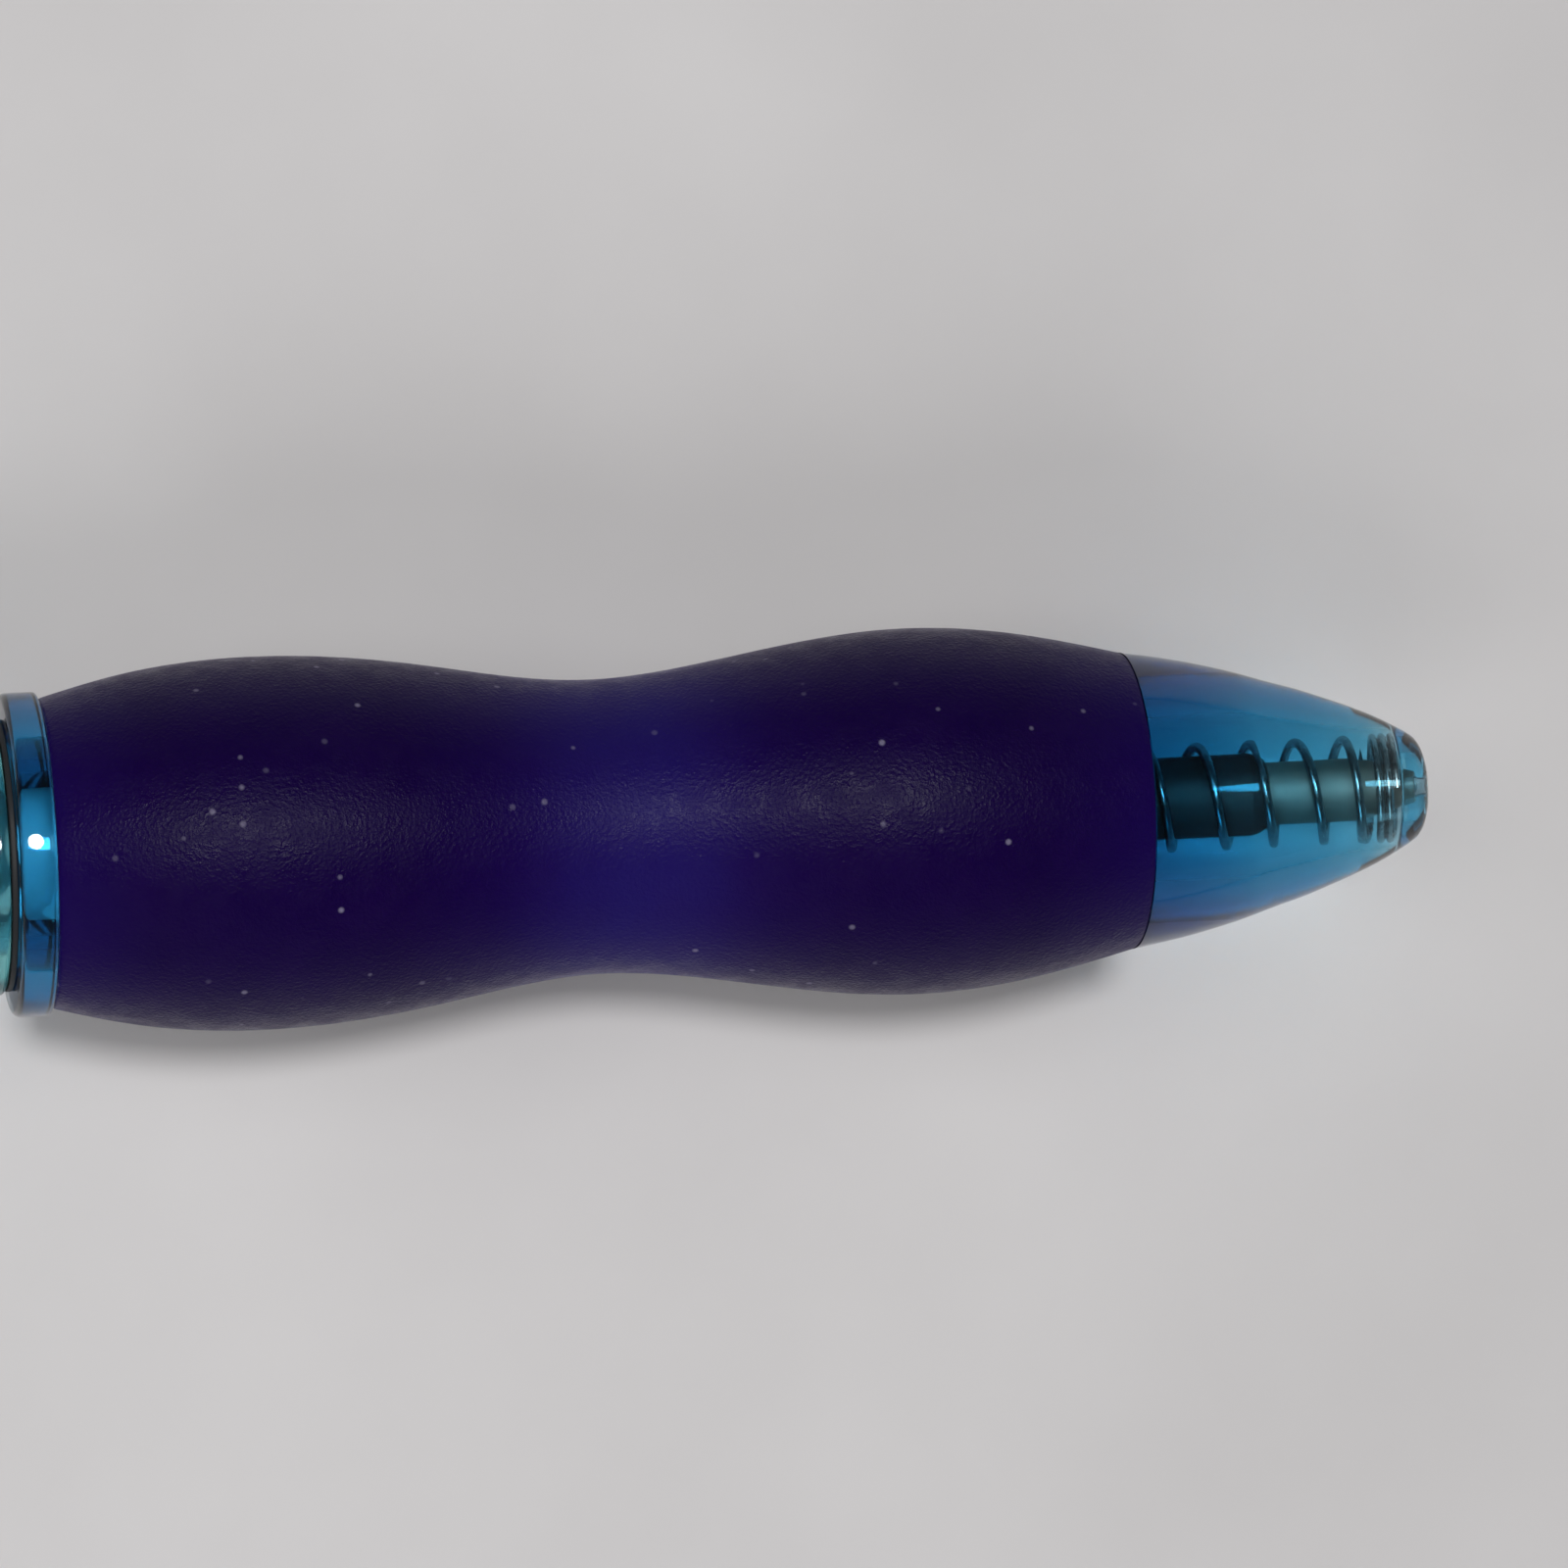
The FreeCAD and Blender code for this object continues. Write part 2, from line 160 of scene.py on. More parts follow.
# mesh fineness
SEGMENTS = 144
CURVE_STEP = 0.3
CORNER_STEPS = 5
THREAD_STEPS = 90
BALL_STEPS = 32
SOCKET_STEPS = 12
DIMPLE_RINGS = 12
DIMPLE_SIDES = 48
WIRE_SIDES = 14
STEPS_PER_TURN = 40
TINY = 1e-6


# ---------------------------------------------------------------- meshes


def new_object(name, vertices, faces):
    """An object in the scene from points in millimetres."""
    mesh = bpy.data.meshes.new(name)
    mesh.from_pydata([Vector(place) * MM for place in vertices], [], faces)
    obj = bpy.data.objects.new(name, mesh)
    bpy.context.scene.collection.objects.link(obj)
    return obj


def finish_mesh(obj, sharp_degrees=35):
    """Outward normals, and smooth shading with crisp edges only where the surface really turns."""
    work = bmesh.new()
    work.from_mesh(obj.data)
    bmesh.ops.recalc_face_normals(work, faces=work.faces)
    work.to_mesh(obj.data)
    work.free()
    obj.data.shade_smooth()
    obj.data.set_sharp_from_angle(angle=math.radians(sharp_degrees))
    return obj


def spline(points):
    """Points along the natural cubic curve through the given ones."""
    places = np.array(points, float)
    gaps = np.linalg.norm(np.diff(places, axis=0), axis=1)
    knots = np.concatenate([[0], np.cumsum(gaps)])
    slopes = np.diff(places, axis=0) / gaps[:, None]
    system = np.eye(len(knots))
    wanted = np.zeros_like(places)
    for i in range(1, len(knots) - 1):
        system[i, i - 1 : i + 2] = gaps[i - 1], 2 * (gaps[i - 1] + gaps[i]), gaps[i]
        wanted[i] = 6 * (slopes[i] - slopes[i - 1])
    bend = np.linalg.solve(system, wanted)
    samples = np.linspace(0, knots[-1], max(3, math.ceil(knots[-1] / CURVE_STEP)))
    span = np.clip(np.searchsorted(knots, samples, side="right") - 1, 0, len(gaps) - 1)
    gap = gaps[span][:, None]
    left = (knots[span + 1] - samples)[:, None]
    right = (samples - knots[span])[:, None]
    curve = (bend[span] * left**3 + bend[span + 1] * right**3) / (6 * gap)
    curve += (places[span] / gap - bend[span] * gap / 6) * left
    curve += (places[span + 1] / gap - bend[span + 1] * gap / 6) * right
    return [tuple(place) for place in curve]


def rounded_corner(before, corner, after, radius):
    """Points of the arc that rounds a corner between its two neighbours."""
    here = Vector(corner)
    back = (Vector(before) - here).normalized()
    ahead = (Vector(after) - here).normalized()
    half_turn = back.angle(ahead) / 2
    centre = here + (back + ahead).normalized() * (radius / math.sin(half_turn))
    start = here + back * (radius / math.tan(half_turn)) - centre
    end = here + ahead * (radius / math.tan(half_turn)) - centre
    points = []
    for step in range(CORNER_STEPS + 1):
        spoke = start.slerp(end, step / CORNER_STEPS).normalized()
        points.append(tuple(centre + spoke * radius))
    return points


def expand(outline):
    """All points of an outline.

    It lists corners, corners with a rounding radius as third number, and smooth curves, each
    a list of the points it runs through.
    """
    runs = [spline(item) if isinstance(item, list) else [item] for item in outline]
    points = []
    for index, run in enumerate(runs):
        if len(run) > 1 or len(run[0]) == 2:
            points.extend(run)
            continue
        before = runs[index - 1][-1][:2]
        after = runs[(index + 1) % len(runs)][0][:2]
        points.extend(rounded_corner(before, run[0][:2], after, run[0][2]))
    return points


def lathe(name, outline, relief=None):
    """Turn an outline into a closed mesh; one that starts on the axis must also end there.

    relief, if given, tells how much further out the surface stands at (back, radius, angle).
    """
    profile = expand(outline)
    vertices = []
    rings = []
    for back, radius in profile:
        if radius < TINY:
            rings.append([len(vertices)] * SEGMENTS)
            vertices.append((along(back), 0, AXIS_HEIGHT))
            continue
        rings.append([len(vertices) + step for step in range(SEGMENTS)])
        for step in range(SEGMENTS):
            angle = 2 * math.pi * step / SEGMENTS
            reach = radius + (relief(back, radius, angle) if relief else 0)
            vertices.append(
                (along(back), reach * math.sin(angle), AXIS_HEIGHT + reach * math.cos(angle))
            )
    pairs = list(zip(rings, rings[1:]))
    if profile[0][1] > TINY:
        pairs.append((rings[-1], rings[0]))
    faces = []
    for ring, following in pairs:
        for step in range(SEGMENTS):
            ahead = (step + 1) % SEGMENTS
            corners = [ring[step], ring[ahead], following[ahead], following[step]]
            face = list(dict.fromkeys(corners))
            if len(face) > 2:
                faces.append(face)
    return finish_mesh(new_object(name, vertices, faces))


def sweep(name, rings, sharp_degrees):
    """Skin a row of rings of points, each with the same count, and close both ends."""
    count = len(rings[0])
    vertices = [place for ring in rings for place in ring]
    faces = [list(range(count)), list(range(len(vertices) - count, len(vertices)))]
    for start in range(0, len(vertices) - count, count):
        for k in range(count):
            ahead = (k + 1) % count
            faces.append([start + k, start + ahead, start + count + ahead, start + count + k])
    return finish_mesh(new_object(name, vertices, faces), sharp_degrees)


def combine(obj, other, operation):
    """Join another closed mesh to a piece, or cut its shape out of the piece."""
    modifier = obj.modifiers.new("combine", "BOOLEAN")
    modifier.object = other
    modifier.operation = operation
    modifier.solver = "EXACT"
    result = obj.evaluated_get(bpy.context.evaluated_depsgraph_get())
    obj.data = bpy.data.meshes.new_from_object(result)
    obj.modifiers.clear()
    bpy.data.objects.remove(other)
    return finish_mesh(obj)


def cut_box(obj, front, back, half_width, inner, outer):
    """Cut a box-shaped opening, on top of the pen, out of a piece."""
    corners = []
    for station in (front, back):
        for across in (-half_width, half_width):
            for radius in (inner, outer):
                corners.append((along(station), across, AXIS_HEIGHT + radius))
    sides = [[0, 1, 3, 2], [4, 5, 7, 6], [0, 1, 5, 4], [2, 3, 7, 6], [0, 2, 6, 4], [1, 3, 7, 5]]
    cutter = finish_mesh(new_object("cutter", corners, sides))
    return combine(obj, cutter, "DIFFERENCE")


def install(obj, body, node, material):
    """Put a piece on its body, in place of its CAD node, with its material.

    The clear nose and collar cast no shadow of their own, so light reaches the parts inside.
    """
    obj.data.materials.clear()
    obj.data.materials.append(material)
    obj.visible_shadow = node not in ("front_barrel", "collar_ring")
    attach(obj, body)
    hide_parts(node)


def dress(node, material):
    """Give a CAD node that stays in view its material."""
    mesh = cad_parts[node].data
    mesh.materials.clear()
    mesh.materials.append(material)


# ---------------------------------------------------------------- material helpers


def new_material(name):
    """A material and its Principled shader."""
    material = bpy.data.materials.new(name)
    material.use_nodes = True
    return material, material.node_tree.nodes["Principled BSDF"]


def set_inputs(node, values):
    """Set a node's unlinked inputs by name."""
    for socket, value in values.items():
        node.inputs[socket].default_value = value


def add_node(tree, kind, inputs=None, **settings):
    """Add a node with its settings and input values."""
    node = tree.nodes.new(kind)
    for key, value in settings.items():
        setattr(node, key, value)
    set_inputs(node, inputs or {})
    return node


def noise(tree, scale, detail=3.0, roughness=0.5, stretch=(1, 1, 1)):
    """Noise over the piece's own coordinates, with scale features in a millimetre."""
    place = add_node(tree, "ShaderNodeTexCoord")
    mapping = add_node(tree, "ShaderNodeMapping", {"Scale": stretch})
    texture = add_node(
        tree,
        "ShaderNodeTexNoise",
        {"Scale": scale / MM, "Detail": detail, "Roughness": roughness},
    )
    tree.links.new(place.outputs["Object"], mapping.inputs["Vector"])
    tree.links.new(mapping.outputs["Vector"], texture.inputs["Vector"])
    return texture.outputs["Fac"]


def remap(tree, value, old, new, shape="LINEAR"):
    """Map a value from its old range, clamped, onto a new one."""
    node = add_node(
        tree,
        "ShaderNodeMapRange",
        {"From Min": old[0], "From Max": old[1], "To Min": new[0], "To Max": new[1]},
        interpolation_type=shape,
    )
    tree.links.new(value, node.inputs["Value"])
    return node.outputs["Result"]


def multiply(tree, first, second):
    """The product of two nodes' outputs."""
    node = add_node(tree, "ShaderNodeMath", operation="MULTIPLY")
    tree.links.new(first, node.inputs[0])
    tree.links.new(second, node.inputs[1])
    return node.outputs[0]


def blend(tree, share, low, high):
    """Mix two colours; each is a fixed colour or another node's output."""
    node = add_node(tree, "ShaderNodeMix", data_type="RGBA")
    tree.links.new(share, node.inputs["Factor"])
    for socket, colour in ((node.inputs[6], low), (node.inputs[7], high)):
        if isinstance(colour, tuple):
            socket.default_value = (*colour, 1)
        else:
            tree.links.new(colour, socket)
    return node.outputs[2]


def bump(tree, shader, height, strength, depth):
    """Relief on the surface, at most depth high."""
    node = add_node(tree, "ShaderNodeBump", {"Strength": strength, "Distance": depth * MM})
    tree.links.new(height, node.inputs["Height"])
    tree.links.new(node.outputs["Normal"], shader.inputs["Normal"])


def measured_from(tree, point, keep):
    """Distance from a point, counting only the kept directions."""
    place = add_node(tree, "ShaderNodeTexCoord")
    shift = add_node(tree, "ShaderNodeVectorMath", operation="SUBTRACT")
    shift.inputs[1].default_value = Vector(point) * MM
    flatten = add_node(tree, "ShaderNodeVectorMath", operation="MULTIPLY")
    flatten.inputs[1].default_value = Vector(keep) / MM
    length = add_node(tree, "ShaderNodeVectorMath", operation="LENGTH")
    tree.links.new(place.outputs["Object"], shift.inputs[0])
    tree.links.new(shift.outputs["Vector"], flatten.inputs[0])
    tree.links.new(flatten.outputs["Vector"], length.inputs[0])
    return length.outputs["Value"]


# ---------------------------------------------------------------- materials


def clear_plastic(name, tint, density, roughness):
    """Tinted clear plastic: its colour deepens with the thickness the light passes."""
    material, shader = new_material(name)
    tree = material.node_tree
    set_inputs(shader, {"Base Color": (1, 1, 1, 1), "Transmission Weight": 1.0, "IOR": 1.5})
    flow = noise(tree, 0.35, detail=4, stretch=(0.25, 1, 1))
    tree.links.new(remap(tree, flow, (0.35, 0.7), roughness), shader.inputs["Roughness"])
    bump(tree, shader, noise(tree, 0.18, detail=1), strength=0.25, depth=0.004)
    absorption = add_node(
        tree, "ShaderNodeVolumeAbsorption", {"Color": (*tint, 1), "Density": density}
    )
    output = tree.nodes["Material Output"]
    tree.links.new(absorption.outputs["Volume"], output.inputs["Volume"])
    return material


def dust(tree):
    """Scattered pale specks about a fifth of a millimetre across: how much each place has."""
    cells_per_mm = 0.9
    place = add_node(tree, "ShaderNodeTexCoord")
    cells = add_node(tree, "ShaderNodeTexVoronoi", {"Scale": cells_per_mm / MM})
    tree.links.new(place.outputs["Object"], cells.inputs["Vector"])
    pick = add_node(tree, "ShaderNodeSeparateColor")
    tree.links.new(cells.outputs["Color"], pick.inputs["Color"])
    spot = remap(tree, cells.outputs["Distance"], (0.06, 0.13), (1, 0))
    chosen = remap(tree, pick.outputs["Red"], (0.62, 0.95), (0, 0.55))
    return multiply(tree, spot, chosen)


def silicone():
    """Deep violet silicone with a soft-touch grain. Where it is thin it is painted lighter and
    bluer, partly its own tint over the teal core and partly painted light. A painted blue glow
    round its waist stands in for light coming through from the core.
    """
    material, shader = new_material("violet_silicone")
    tree = material.node_tree
    painted_glow_back = 30.5
    thin_violet_with_glow = (0.0095, 0.0015, 0.078)
    thick_violet = (0.0068, 0.0004, 0.044)
    painted_glow_blue = (0.0135, 0.0068, 0.112)
    cloud_violet = (0.015, 0.003, 0.065)
    dust_grey = (0.32, 0.29, 0.42)
    # Thinner silicone is lighter and bluer: partly its own tint over the teal core, partly painted
    # light coming through it.
    radius = measured_from(tree, (0, 0, AXIS_HEIGHT), keep=(0, 1, 1))
    thick = remap(tree, radius, (5.35, 6.5), (0, 1))
    colour = blend(tree, thick, thin_violet_with_glow, thick_violet)
    # Painted glow: a soft blue band round the waist, brightest at its middle, stands in for light
    # coming through the thin silicone from the core.
    from_painted_glow = measured_from(tree, (along(painted_glow_back), 0, 0), keep=(1, 0, 0))
    glow = remap(tree, from_painted_glow, (0.0, 6.0), (1, 0), "SMOOTHERSTEP")
    colour = blend(tree, glow, colour, painted_glow_blue)
    cloudy = remap(tree, noise(tree, 0.45, detail=5), (0.35, 0.7), (0, 0.2))
    colour = blend(tree, cloudy, colour, cloud_violet)
    colour = blend(tree, dust(tree), colour, dust_grey)
    tree.links.new(colour, shader.inputs["Base Color"])
    set_inputs(
        shader,
        {
            "IOR": 1.43,
            "Specular IOR Level": 0.135,
            "Subsurface Weight": 0.1,
            "Subsurface Radius": (0.25, 0.1, 1.0),
            "Subsurface Scale": MM,
            "Sheen Weight": 0.07,
            "Sheen Roughness": 0.3,
            "Sheen Tint": (0.85, 0.75, 1.0, 1),
        },
    )
    grain = noise(tree, 7.0, detail=2, roughness=0.6)
    patches = noise(tree, 1.2, detail=3)
    wear = multiply(tree, remap(tree, grain, (0.35, 0.65), (1.25, 0.8)), patches)
    tree.links.new(remap(tree, wear, (0.35, 0.65), (0.30, 0.44)), shader.inputs["Roughness"])
    bump(tree, shader, grain, strength=0.9, depth=0.04)
    return material


def metal(name, colour, roughness, scale, stretch, relief):
    """Metal with a worked surface; the stretch lays its grain along or round the piece."""
    material, shader = new_material(name)
    tree = material.node_tree
    shader.inputs["Metallic"].default_value = 1.0
    grain = noise(tree, scale, detail=4, stretch=stretch)
    darker = tuple(channel * 0.8 for channel in colour)
    tone = blend(tree, remap(tree, grain, (0.3, 0.7), (0, 1)), darker, colour)
    tree.links.new(tone, shader.inputs["Base Color"])
    tree.links.new(remap(tree, grain, (0.3, 0.7), roughness), shader.inputs["Roughness"])
    bump(tree, shader, grain, strength=0.4, depth=relief)
    return material


def moulded(name, colour, roughness, subsurface=0.0):
    """Opaque moulded plastic or rubber with faint flow marks."""
    material, shader = new_material(name)
    tree = material.node_tree
    flow = noise(tree, 0.6, detail=5)
    darker = tuple(channel * 0.88 for channel in colour)
    tone = blend(tree, remap(tree, flow, (0.3, 0.7), (0, 1)), darker, colour)
    tree.links.new(tone, shader.inputs["Base Color"])
    tree.links.new(remap(tree, flow, (0.3, 0.7), roughness), shader.inputs["Roughness"])
    set_inputs(shader, {"Subsurface Weight": subsurface, "Subsurface Scale": MM})
    bump(tree, shader, noise(tree, 3.0), strength=0.2, depth=0.01)
    return material


def table_top():
    """A pale, faintly uneven laminate."""
    material, shader = new_material("table_top")
    tree = material.node_tree
    cloudy = remap(tree, noise(tree, 0.05, detail=5), (0.3, 0.7), (0, 1))
    tone = blend(tree, cloudy, (0.71, 0.69, 0.69), (0.77, 0.75, 0.75))
    tree.links.new(tone, shader.inputs["Base Color"])
    shader.inputs["Roughness"].default_value = 0.55
    bump(tree, shader, noise(tree, 0.8, detail=4), strength=0.1, depth=0.02)
    return material


TEAL = clear_plastic("teal_clear", (0.04, 0.69, 0.85), 1170, (0.02, 0.07))
TEAL_PALE = clear_plastic("teal_pale", (0.10, 0.70, 0.72), 520, (0.04, 0.12))
SMOKE = clear_plastic("smoke_plastic", (0.05, 0.12, 0.20), 3000, (0.55, 0.65))
GREASE = clear_plastic("clear_grease", (0.90, 0.85, 0.60), 300, (0.02, 0.07))
SILICONE = silicone()
RUBBER = moulded("black_rubber", (0.02, 0.02, 0.022), (0.5, 0.65))
ACETAL = moulded("white_acetal", (0.82, 0.83, 0.82), (0.35, 0.5), subsurface=0.2)
MILKY = moulded("milky_plastic", (0.52, 0.56, 0.60), (0.35, 0.5))
INK = moulded("dark_ink", (0.012, 0.012, 0.02), (0.05, 0.12))
SPRING_STEEL = metal("spring_steel", (0.46, 0.46, 0.47), (0.18, 0.28), 4.0, (1, 1, 1), 0.003)
POINT_METAL = metal("nickel_silver", (0.33, 0.30, 0.27), (0.56, 0.7), 3.0, (6, 0.3, 0.3), 0.006)
CARBIDE = metal("ball_carbide", (0.55, 0.55, 0.58), (0.08, 0.15), 6.0, (1, 1, 1), 0.002)
CLIP_STEEL = metal("clip_steel", (0.86, 0.86, 0.88), (0.18, 0.28), 2.0, (0.15, 3, 3), 0.001)


# ---------------------------------------------------------------- barrel pieces


def thread_height(back, angle, play):
    """How far the screw thread, grown by the play, stands out at a station and angle."""
    first = THREAD_FRONT - THREAD_OVERRUN
    last = THREAD_BACK + THREAD_OVERRUN
    if not first <= back <= last:
        return 0.0
    turn = (back - THREAD_FRONT) / THREAD_PITCH - angle / (2 * math.pi)
    offset = abs(turn - round(turn)) * THREAD_PITCH
    flank = (THREAD_HALF_FOOT + play - offset) / THREAD_FLANK
    fade = min(1.0, (back - first) / THREAD_FADE, (last - back) / THREAD_FADE)
    return (THREAD_DEPTH + play) * max(0.0, min(1.0, flank)) * fade


def thread_stations(radius):
    """Closely spaced points along the threaded stretch."""
    margin = 0.5
    step = (THREAD_BACK - THREAD_FRONT + 2 * margin) / THREAD_STEPS
    return [(THREAD_FRONT - margin + step * i, radius) for i in range(THREAD_STEPS + 1)]


def build_front_barrel():
    """Nose cone, grip core and screw spigot in one."""
    nose = [
        (0.0, 1.45), (0.2, 1.85), (0.65, 2.17), (1.3, 2.53), (2.45, 3.06), (3.6, 3.5),
        (4.7, 3.89), (5.8, 4.22), (6.9, 4.57), (8.0, 4.87), (9.2, 5.15),
        (NOSE_LENGTH, NOSE_RADIUS),
    ]
    shoulder = BARREL_FRONT - 0.02
    outline = [
        (0.0, EXIT_HOLE, 0.08),
        nose,
        (NOSE_LENGTH, CORE_RADIUS),
        (shoulder, CORE_RADIUS),
        (shoulder, SPIGOT_RADIUS),
        *thread_stations(SPIGOT_RADIUS),
        (SPIGOT_BACK, SPIGOT_RADIUS, 0.2),
        (SPIGOT_BACK, CORE_BORE),
        (7.0, CORE_BORE, 1.0),
        (2.8, SPRING_CHAMBER, 0.6),
        (TIP_WALL, SPRING_CHAMBER, 0.15),
        (TIP_WALL, EXIT_HOLE),
    ]

    def relief(back, radius, angle):
        on_spigot = abs(radius - SPIGOT_RADIUS) < TINY
        return thread_height(back, angle, 0.0) if on_spigot else 0.0

    obj = lathe("front_barrel_shell", outline, relief)
    install(obj, "barrel", "front_barrel", TEAL)


def build_grip():
    """The double-hump silicone sleeve."""
    bore = CORE_RADIUS + 0.03
    swell = [
        (GRIP_FRONT + 0.1, NOSE_RADIUS + 0.02), (14.6, 6.28), (19.8, 6.75), (25.7, 6.03),
        (31.4, 5.41), (37.65, 6.29), (43.4, 6.81), (48.5, 6.35), (GRIP_BACK - 0.25, 5.69),
    ]
    outline = [
        (GRIP_FRONT, bore),
        (GRIP_FRONT, NOSE_RADIUS - 0.03, 0.05),
        swell,
        (GRIP_BACK, 5.60, 0.18),
        (GRIP_BACK, bore),
    ]
    obj = lathe("grip_skin", outline)
    install(obj, "barrel", "grip_sleeve", SILICONE)


def build_collar():
    """The clear ring behind the grip, and the rubber ring at the bottom of the joint gap."""
    bore = CORE_RADIUS + 0.02
    band = [
        (RING_FRONT, bore),
        (RING_FRONT, RING_RADIUS, 0.15),
        (RING_BACK, RING_RADIUS, 0.25),
        (RING_BACK, bore),
    ]
    seal_front = front_of("seal_ring")
    seal_back = back_of("seal_ring")
    seal_radius = radius_of("seal_ring")
    seal = [
        (seal_front, bore),
        (seal_front, seal_radius, 0.06),
        (seal_back, seal_radius, 0.06),
        (seal_back, bore),
    ]
    install(lathe("collar_band", band), "barrel", "collar_ring", TEAL)
    install(lathe("seal_band", seal), "barrel", "seal_ring", RUBBER)


def build_rear_barrel():
    """The slim rear barrel, threaded inside its front end."""
    thread_bore = SPIGOT_RADIUS + 0.05
    sleeve_bore = SLEEVE_RADIUS + 0.02
    ledge = 104.05
    bulge = [
        (BARREL_FRONT + 0.3, 5.085), (62.0, 5.22), (75.0, 5.3), (92.0, 5.28), (108.0, 5.1),
        (BARREL_BACK - 0.1, 4.8),
    ]
    outline = [
        (BARREL_FRONT, thread_bore, 0.1),
        (BARREL_FRONT, 5.08, 0.25),
        bulge,
        (BARREL_BACK, 4.79, 0.08),
        (BARREL_BACK, sleeve_bore),
        (ledge, sleeve_bore),
        (ledge, LEDGE_BORE),
        (ledge - 1.15, LEDGE_BORE),
        (ledge - 2.15, BARREL_BORE),
        (64.0, BARREL_BORE),
        (63.0, thread_bore),
        *reversed(thread_stations(thread_bore)),
    ]

    def relief(back, radius, angle):
        threaded = abs(radius - thread_bore) < TINY and back > BARREL_FRONT + 0.5
        return thread_height(back, angle, 0.04) if threaded else 0.0

    obj = lathe("rear_barrel_shell", outline, relief)
    install(obj, "barrel", "rear_barrel", TEAL_PALE)


def build_crown():
    """The end piece, with the slot and pocket that hold the clip's foot."""
    outline = [
        (CROWN_FRONT, CROWN_BORE),
        (CROWN_FRONT, SLEEVE_RADIUS, 0.1),
        (CROWN_SHOULDER, SLEEVE_RADIUS),
        (CROWN_SHOULDER, 4.8, 0.08),
        (CROWN_BACK, 4.5, 1.1),
        (CROWN_BACK, GUIDE_BORE, 0.3),
        (GUIDE_FRONT, GUIDE_BORE),
        (GUIDE_FRONT, CROWN_BORE),
    ]
    obj = lathe("crown_shell", outline)
    obj = cut_box(obj, front=126.15, back=127.25, half_width=2.0, inner=3.5, outer=6.0)
    obj = cut_box(obj, front=125.3, back=127.25, half_width=2.0, inner=3.1, outer=3.97)
    install(obj, "barrel", "crown", TEAL)


def build_spring():
    """A smooth wire along the spring's helix, squashed from its front end by the button."""
    first = front_of("return_spring") + WIRE_RADIUS
    last = back_of("return_spring") - WIRE_RADIUS
    turns = [0.0, 2.5, 3.5, 13.0, 15.0]
    stations = [first, first + 0.95, first + 2.25, last - 0.8, last]
    smoothed_turns = 0.25
    count = int(turns[-1] * STEPS_PER_TURN)
    path = []
    for step in range(count + 1):
        turn = turns[-1] * step / count
        angle = 2 * math.pi * turn
        nearby = [turn - smoothed_turns, turn, turn + smoothed_turns]
        back = float(np.interp(nearby, turns, stations).mean())
        outward = Vector((0, math.sin(angle), math.cos(angle)))
        centre = Vector((along(back), 0, AXIS_HEIGHT))
        path.append((centre + outward * COIL_RADIUS, outward))
    rings = []
    for index, (place, outward) in enumerate(path):
        before = path[max(index - 1, 0)][0]
        after = path[min(index + 1, count)][0]
        side = (after - before).cross(outward).normalized()
        ring = []
        for k in range(WIRE_SIDES):
            spin = 2 * math.pi * k / WIRE_SIDES
            ring.append(place + (outward * math.cos(spin) + side * math.sin(spin)) * WIRE_RADIUS)
        rings.append(ring)
    obj = sweep("spring_wire", rings, 60)
    install(obj, "barrel", "return_spring", SPRING_STEEL)
    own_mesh(obj)


# ---------------------------------------------------------------- clip and button


def clip_path():
    """The middle line of the bent clip, from its free end round to its hook."""
    strip = [
        (91.05, 6.94), (92.85, 6.41), (95.5, 6.15), (99.55, 6.45), (108.05, 7.3),
        (118.0, 7.7), (125.4, 7.75), (126.35, 7.45), (CLIP_FOOT, 6.87),
    ]
    foot = [(CLIP_FOOT, 6.8 - 0.3 * step) for step in range(10)]
    corner = (CLIP_FOOT, CLIP_HOOK)
    bend = rounded_corner(foot[0], corner, (CLIP_HOOK_FRONT, CLIP_HOOK), 0.33)
    hook = [(CLIP_HOOK_FRONT + 0.3, CLIP_HOOK), (CLIP_HOOK_FRONT, CLIP_HOOK)]
    return spline(strip) + foot + bend + hook


def clip_half_width(back):
    """Half the clip's width: narrower toward the free end, which is rounded."""
    taper_length = 25.0
    end_length = 2.2
    taper = 1.4 + 0.4 * min(1.0, max(0.0, (back - CLIP_END_ROUNDED_TO) / taper_length))
    into_end = max(0.0, CLIP_END_ROUNDED_TO - back) / end_length
    return taper * math.sqrt(max(0.06, 1 - into_end**2))


def clip_section(half_width, half_thickness, corner):
    """A flat bar's rounded cross-section."""
    points = []
    for quarter, (u, v) in enumerate([(1, 1), (-1, 1), (-1, -1), (1, -1)]):
        for step in range(CORNER_STEPS + 1):
            angle = math.pi / 2 * (quarter + step / CORNER_STEPS)
            across = u * (half_width - corner) + corner * math.cos(angle)
            up = v * (half_thickness - corner) + corner * math.sin(angle)
            points.append((across, up))
    return points


def build_clip():
    """The bent spring-steel clip with the dimple that pinches."""
    path = [Vector((along(back), 0, AXIS_HEIGHT + radius)) for back, radius in clip_path()]
    sideways = Vector((0, 1, 0))
    rings = []
    for index, place in enumerate(path):
        before = path[max(index - 1, 0)]
        after = path[min(index + 1, len(path) - 1)]
        up = (after - before).cross(sideways).normalized()
        half_width = clip_half_width(NOSE_FRONT - place.x)
        rounding = min(CLIP_EDGE_ROUNDING, half_width / 2)
        section = clip_section(half_width, CLIP_HALF_THICKNESS, rounding)
        rings.append([place + sideways * u + up * v for u, v in section])
    strip = combine(sweep("clip_strip", rings, 40), dimple_cap(), "UNION")
    install(strip, "clip", "clip", CLIP_STEEL)


